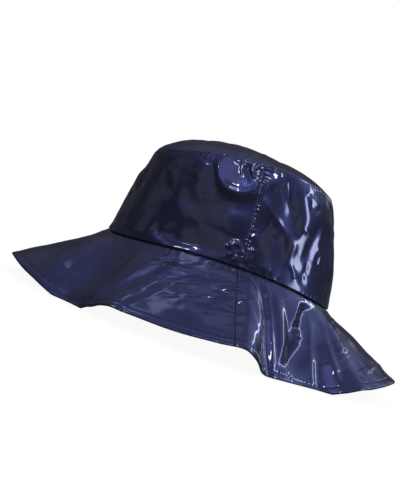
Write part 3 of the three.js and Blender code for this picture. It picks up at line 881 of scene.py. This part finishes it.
def tip_panel(name, materials):
    """The top panel, which dips into its seam and goes on inside the side panels."""
    count = 70
    groove = 1.5
    edge_share = 1 - groove / (TIP_WIDTH / 2)
    azimuth = np.linspace(0, FULL_TURN, 420, endpoint=False)
    shares = np.r_[0.004, np.linspace(0.02, edge_share, count)]
    rings = [tip_cloth(azimuth, np.full_like(azimuth, share)) for share in shares]
    last, before = rings[-1], rings[-2]
    leaving = unit(last - before) * 1.8
    bend = inside_form(azimuth, np.full_like(azimuth, 0.985))
    lower = inside_form(azimuth, np.full_like(azimuth, 0.95))
    down = unit(lower - bend) * 3.2
    for t in np.linspace(0, 1, TIP_STEPS)[1:]:
        rings.append((2 * t**3 - 3 * t**2 + 1) * last + (t**3 - 2 * t**2 + t) * leaving
                     + (3 * t**2 - 2 * t**3) * bend + (t**3 - t**2) * down)
    for share in TIP_FIN_SHARES:
        rings.append(inside_form(azimuth, np.full_like(azimuth, share)))
    outer = np.array(rings)
    seen_wall = 0.75 * CROWN_WALL
    inner = outer + seen_wall * grid_normals(outer, ring=True)
    return cloth_panel(name, outer, inner, materials, ring=True, turned=True)


class Socket:
    """A shader socket that makes Math nodes where it is reckoned with."""

    def __init__(self, tree, value):
        self.tree = tree
        self.value = value

    def _math(self, operation, *values):
        return self.tree.node("ShaderNodeMath", {"operation": operation}, values)

    def __add__(self, other):
        return self._math("ADD", self, other)

    __radd__ = __add__

    def __mul__(self, other):
        return self._math("MULTIPLY", self, other)

    __rmul__ = __mul__

    def __sub__(self, other):
        return self._math("SUBTRACT", self, other)

    def __rsub__(self, other):
        return self._math("SUBTRACT", other, self)

    def __abs__(self):
        return self._math("ABSOLUTE", self)


class ShaderTree:
    """A node tree whose nodes all come from node()."""

    def __init__(self, tree):
        self.nodes, self.links = tree.nodes, tree.links

    def node(self, kind, settings=None, values=(), output=0):
        made = self.nodes.new(kind)
        for key, setting in (settings or {}).items():
            setattr(made, key, setting)
        pairs = values.items() if isinstance(values, dict) else enumerate(values)
        for key, value in pairs:
            self.feed(made.inputs[key], value)
        return Socket(self, made.outputs[output])

    def feed(self, socket, value):
        if isinstance(value, Socket):
            self.links.new(value.value, socket)
        else:
            socket.default_value = value

    def mix(self, factor, one, other):
        """A colour between two others."""
        return self.node("ShaderNodeMix", {"data_type": "RGBA"}, {0: factor, 6: one, 7: other}, 2)

    def spread(self, value, low, high, to_low=0.0, to_high=1.0, smooth=False):
        """A value mapped from one range to another."""
        settings = {"interpolation_type": "SMOOTHSTEP" if smooth else "LINEAR"}
        return self.node("ShaderNodeMapRange", settings, [value, low, high, to_low, to_high])


class Paint(ShaderTree):
    """One material of the hat, on its Principled shader."""

    def __init__(self, name, **constants):
        self.material = bpy.data.materials.new(name)
        self.material.use_nodes = True
        super().__init__(self.material.node_tree)
        self.shader = self.nodes["Principled BSDF"]
        for socket, value in constants.items():
            self.shader.inputs[socket].default_value = value

    def noise(self, scale, detail=2.0, roughness=0.5):
        place = self.node("ShaderNodeTexCoord", output="Object")
        return self.node("ShaderNodeTexNoise", {}, {
            "Vector": place, "Scale": scale, "Detail": detail, "Roughness": roughness})

    def relief(self, height, strength, distance):
        """A normal for grain too fine to model."""
        return self.node("ShaderNodeBump", {}, {
            "Strength": strength, "Distance": distance, "Height": height})

    def put(self, socket, value):
        self.feed(self.shader.inputs[socket], value)


def patent_vinyl():
    """Navy vinyl with a clear, glassy skin over a faintly grained coat of colour."""
    paint = Paint("navy_patent_vinyl", **{
        "Specular IOR Level": 1.0, "Specular Tint": (0.22, 0.27, 1, 1), "Coat Weight": 1.0,
        "Coat Roughness": 0.03, "Coat IOR": 1.5})
    tone = paint.spread(paint.noise(16, 3, 0.55), 0.3, 0.7)
    deep, light = (0.0145, 0.015, 0.028, 1), (0.019, 0.0195, 0.037, 1)
    paint.put("Base Color", paint.mix(tone, deep, light))
    paint.put("Roughness", paint.spread(paint.noise(55, 2), 0.3, 0.7, 0.26, 0.36))
    grain = paint.noise(1100, 2, 0.6)
    paint.put("Normal", paint.relief(grain, 0.12, 0.0002))
    return paint.material


def cloth_back():
    """The plain woven back of the coated cloth."""
    paint = Paint("navy_cloth_back", Roughness=0.85)
    tone = paint.spread(paint.noise(40, 3), 0.3, 0.7)
    paint.put("Base Color", paint.mix(tone, (0.012, 0.013, 0.03, 1), (0.02, 0.021, 0.045, 1)))
    weave = paint.noise(1600, 1)
    paint.put("Normal", paint.relief(weave, 0.5, 0.0003))
    return paint.material


def thread():
    """The dark, dull thread of the hem's stitches."""
    paint = Paint("navy_thread", Roughness=0.5)
    tone = paint.spread(paint.noise(2200, 1), 0.35, 0.65)
    paint.put("Base Color", paint.mix(tone, (0.006, 0.006, 0.02, 1), (0.014, 0.014, 0.04, 1)))
    return paint.material


def hem_stitching(material):
    """A row of stitches round the hem, above and below, each a short round-ended thread."""
    pitch, length, radius, corners = 3.2, 2.5, 0.24, 6
    fine = np.linspace(0, FULL_TURN, 2400, endpoint=False)
    line = brim_cloth(fine, np.full_like(fine, STITCH_LINE))
    closed = np.vstack([line, line[:1]])
    gone = np.r_[0, np.cumsum(np.linalg.norm(np.diff(closed, axis=0), axis=1))]
    count = int(gone[-1] // pitch)
    steps = np.array([-0.5, -0.32, 0, 0.32, 0.5])
    widths = np.array([0.25, 0.85, 1, 0.85, 0.25])[:, None, None] * radius
    lifts = np.array([-0.16, 0.04, 0.12, 0.04, -0.16])[:, None]
    middles = (np.arange(count) + 0.5) * gone[-1] / count
    azimuth = np.interp(middles[:, None] + steps * length, gone, np.r_[fine, FULL_TURN])
    alongs = np.full_like(azimuth, STITCH_LINE)
    above = brim_cloth(azimuth, alongs)
    normal = -normal_of(brim_form, azimuth, alongs, BRIM_STEP)
    sunk, least_height = 0.1, 1
    below = above - normal * (HEM_WALL - sunk)
    clear = below[..., 2].min(1) > least_height
    centres = np.concatenate([above, below[clear]])
    normals = np.concatenate([normal, -normal[clear]])
    centres = centres + normals * lifts
    ways = unit(np.gradient(centres, axis=1))
    sides = unit(np.cross(ways, normals))
    turn = (np.arange(corners) * 2 * math.pi / corners)[:, None]
    spokes = np.cos(turn) * sides[:, :, None] + np.sin(turn) * normals[:, :, None]
    rings = centres[:, :, None] + widths * spokes
    faces = []
    stitch_points = len(steps) * corners
    for first in range(0, len(rings) * stitch_points, stitch_points):
        last = first + stitch_points - corners
        for ring in range(first, last, corners):
            for k in range(corners):
                a, b = ring + k, ring + (k + 1) % corners
                faces.append((a, b, b + corners, a + corners))
        faces.append(tuple(reversed(range(first, first + corners))))
        faces.append(tuple(range(last, last + corners)))
    return make_mesh("hem_stitching", rings.reshape(-1, 3), faces, [material])


def camera():
    """The photograph's view: nearly level, from the wearer's left, tipped clockwise."""
    azimuth, elevation, roll = (math.radians(v) for v in (-14.46, 3.0, 20.05))
    focal, width, height = 1534.0, 400, 500  # in pixels of the photograph
    seen_at = (232.16, 234.19)  # where the target is in it
    target, distance = Vector((0, 0, 0.09)), 1.3
    sensor = 36
    level = math.cos(elevation)
    back = Vector((math.sin(azimuth) * level, -math.cos(azimuth) * level, math.sin(elevation)))
    right = Vector((math.cos(azimuth), math.sin(azimuth), 0))
    up = back.cross(right)
    tipped = math.cos(roll) * right + math.sin(roll) * up
    top = back.cross(tipped)
    middle = -focal * back + (width / 2 - seen_at[0]) * tipped - (height / 2 - seen_at[1]) * top
    backward = -middle.normalized()
    across = top.cross(backward).normalized()
    data = bpy.data.cameras.new("camera")
    data.sensor_fit = "AUTO"
    data.sensor_width = sensor
    data.lens = focal / height * sensor
    data.clip_start, data.clip_end = 0.05, 60
    made = bpy.data.objects.new("camera", data)
    turned = Matrix((across, backward.cross(across), backward)).transposed()
    made.matrix_world = Matrix.Translation(target + back * distance) @ turned.to_4x4()
    bpy.context.scene.collection.objects.link(made)
    bpy.context.scene.camera = made


def facing(azimuth, elevation):
    """The direction of an azimuth and an elevation."""
    a, e = math.radians(azimuth), math.radians(elevation)
    return Vector((math.cos(a) * math.cos(e), math.sin(a) * math.cos(e), math.sin(e)))


# Soft light panels round the hat: azimuth (270 is in front) and elevation of the middle,
# half width, half height and softness of the edge in degrees, brightness, colour
LIGHT_PANELS = [
    (250, 55, 16, 10, 10, 1.2, (0.54, 0.6, 1.0)),
    (142, 74, 5, 5, 6, 2.2, (0.54, 0.62, 1.0)),
    (75, 81, 7, 5, 8, 0.8, (0.54, 0.62, 1.0)),
    (12, 50, 26, 13, 10, 0.75, (0.48, 0.55, 1.0)),
    (8, 34, 26, 1.2, 1.4, 9, (0.7, 0.78, 1.0)),
    (339, 20, 6, 11, 8, 8.5, (0.8, 0.88, 1.0)),
    (215, 45, 3, 3, 1, 30, (1.0, 1.0, 1.0)),
    (292, 47, 2.5, 2.5, 1, 30, (1.0, 1.0, 1.0)),
    (253, 36, 5, 1.4, 1, 20, (1.0, 1.0, 1.0)),
    (267, 39, 3, 2.4, 1, 45, (1.0, 1.0, 1.0)),
    (303, 18, 9, 8, 10, 0.4, (0.95, 0.95, 1.0)),
    (175, 20, 14, 10, 10, 0.22, (0.95, 0.95, 1.0)),
    (236, 16, 22, 14, 14, 0.3, (1.0, 0.98, 0.98)),
    (45, 20, 5, 7, 8, 0.8, (0.85, 0.9, 1.0)),
]
WIDEST_EDGE = 88  # degrees from its middle at which a panel's edge still has a direction


def surroundings():
    """White behind the hat, and for its light a dark room with soft light panels."""
    world = bpy.data.worlds.new("studio")
    world.use_nodes = True
    bpy.context.scene.world = world
    tree = ShaderTree(world.node_tree)
    tree.nodes.clear()
    way = tree.node("ShaderNodeTexCoord", output="Generated")

    def towards(axis):
        dot = {"operation": "DOT_PRODUCT"}
        return tree.node("ShaderNodeVectorMath", dot, [way, tuple(axis)], "Value")

    height = tree.spread(towards((0, 0, 1)), 0.35, 1)
    room = tree.mix(height, (0.045, 0.045, 0.055, 1), (0.23, 0.25, 0.4, 1))
    for azimuth, elevation, half_width, half_height, soft, brightness, colour in LIGHT_PANELS:
        middle, right = facing(azimuth, elevation), facing(azimuth + 90, 0)
        mask = tree.spread(towards(middle), 0, 0.05)
        for axis, half in ((right, half_width), (middle.cross(right), half_height)):
            edges = (min(WIDEST_EDGE, half + s) for s in (soft / 2, -soft / 2))
            dark, full = (math.sin(math.radians(edge)) for edge in edges)
            mask = mask * tree.spread(abs(towards(axis)), dark, full, smooth=True)
        room = tree.mix(mask, room, (*(brightness * c for c in colour), 1))
    seen = tree.node("ShaderNodeLightPath", output="Is Camera Ray")
    light = tree.node("ShaderNodeBackground", {}, [room, 1.0])
    white = tree.node("ShaderNodeBackground", {}, [(1, 1, 1, 1), 1.0])
    both = tree.node("ShaderNodeMixShader", {}, [seen, light, white])
    tree.feed(tree.nodes.new("ShaderNodeOutputWorld").inputs["Surface"], both)


def studio():
    """A floor that looks white to the camera and dark in the hat's reflections."""
    reach = 14
    corners = [(-reach, -reach, 0), (reach, -reach, 0), (reach, reach, 0), (-reach, reach, 0)]
    mesh = bpy.data.meshes.new("floor")
    mesh.from_pydata(corners, [], [(0, 1, 2, 3)])
    floor = bpy.data.objects.new("floor", mesh)
    pale = Paint("pale_floor", Roughness=0.9, **{
        "Base Color": (0.12, 0.12, 0.12, 1), "Specular IOR Level": 0.1, "Emission Strength": 0.94})
    seen = pale.node("ShaderNodeLightPath", output="Is Camera Ray")
    pale.put("Emission Color", pale.mix(seen, (0, 0, 0, 1), (1, 1, 1, 1)))
    mesh.materials.append(pale.material)
    bpy.context.scene.collection.objects.link(floor)
    surroundings()
    bpy.context.scene.view_settings.view_transform = "Standard"


camera()
studio()
vinyl, back, sewing = patent_vinyl(), cloth_back(), thread()
cloth = [vinyl, back]
far_crown, near_crown = CROWN_SEAMS
far_brim, near_brim = BRIM_SEAMS
next_far_crown = far_crown + FULL_TURN
next_far_brim = [seam + FULL_TURN for seam in far_brim]
pieces = {
    "crown_side_front": crown_side_panel(
        "crown_side_front_panel", far_crown, near_crown, 1, cloth),
    "crown_side_back": crown_side_panel(
        "crown_side_back_panel", near_crown, next_far_crown, -1, cloth),
    "brim_front": brim_panel("brim_front_panel", far_brim, near_brim, 1, cloth),
    "brim_back": brim_panel("brim_back_panel", near_brim, next_far_brim, -1, cloth),
    "crown_tip": tip_panel("crown_top_panel", cloth),
}
for node, piece in pieces.items():
    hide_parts(node)
    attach(piece, "root")
stitching = hem_stitching(sewing)
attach(stitching, "root")
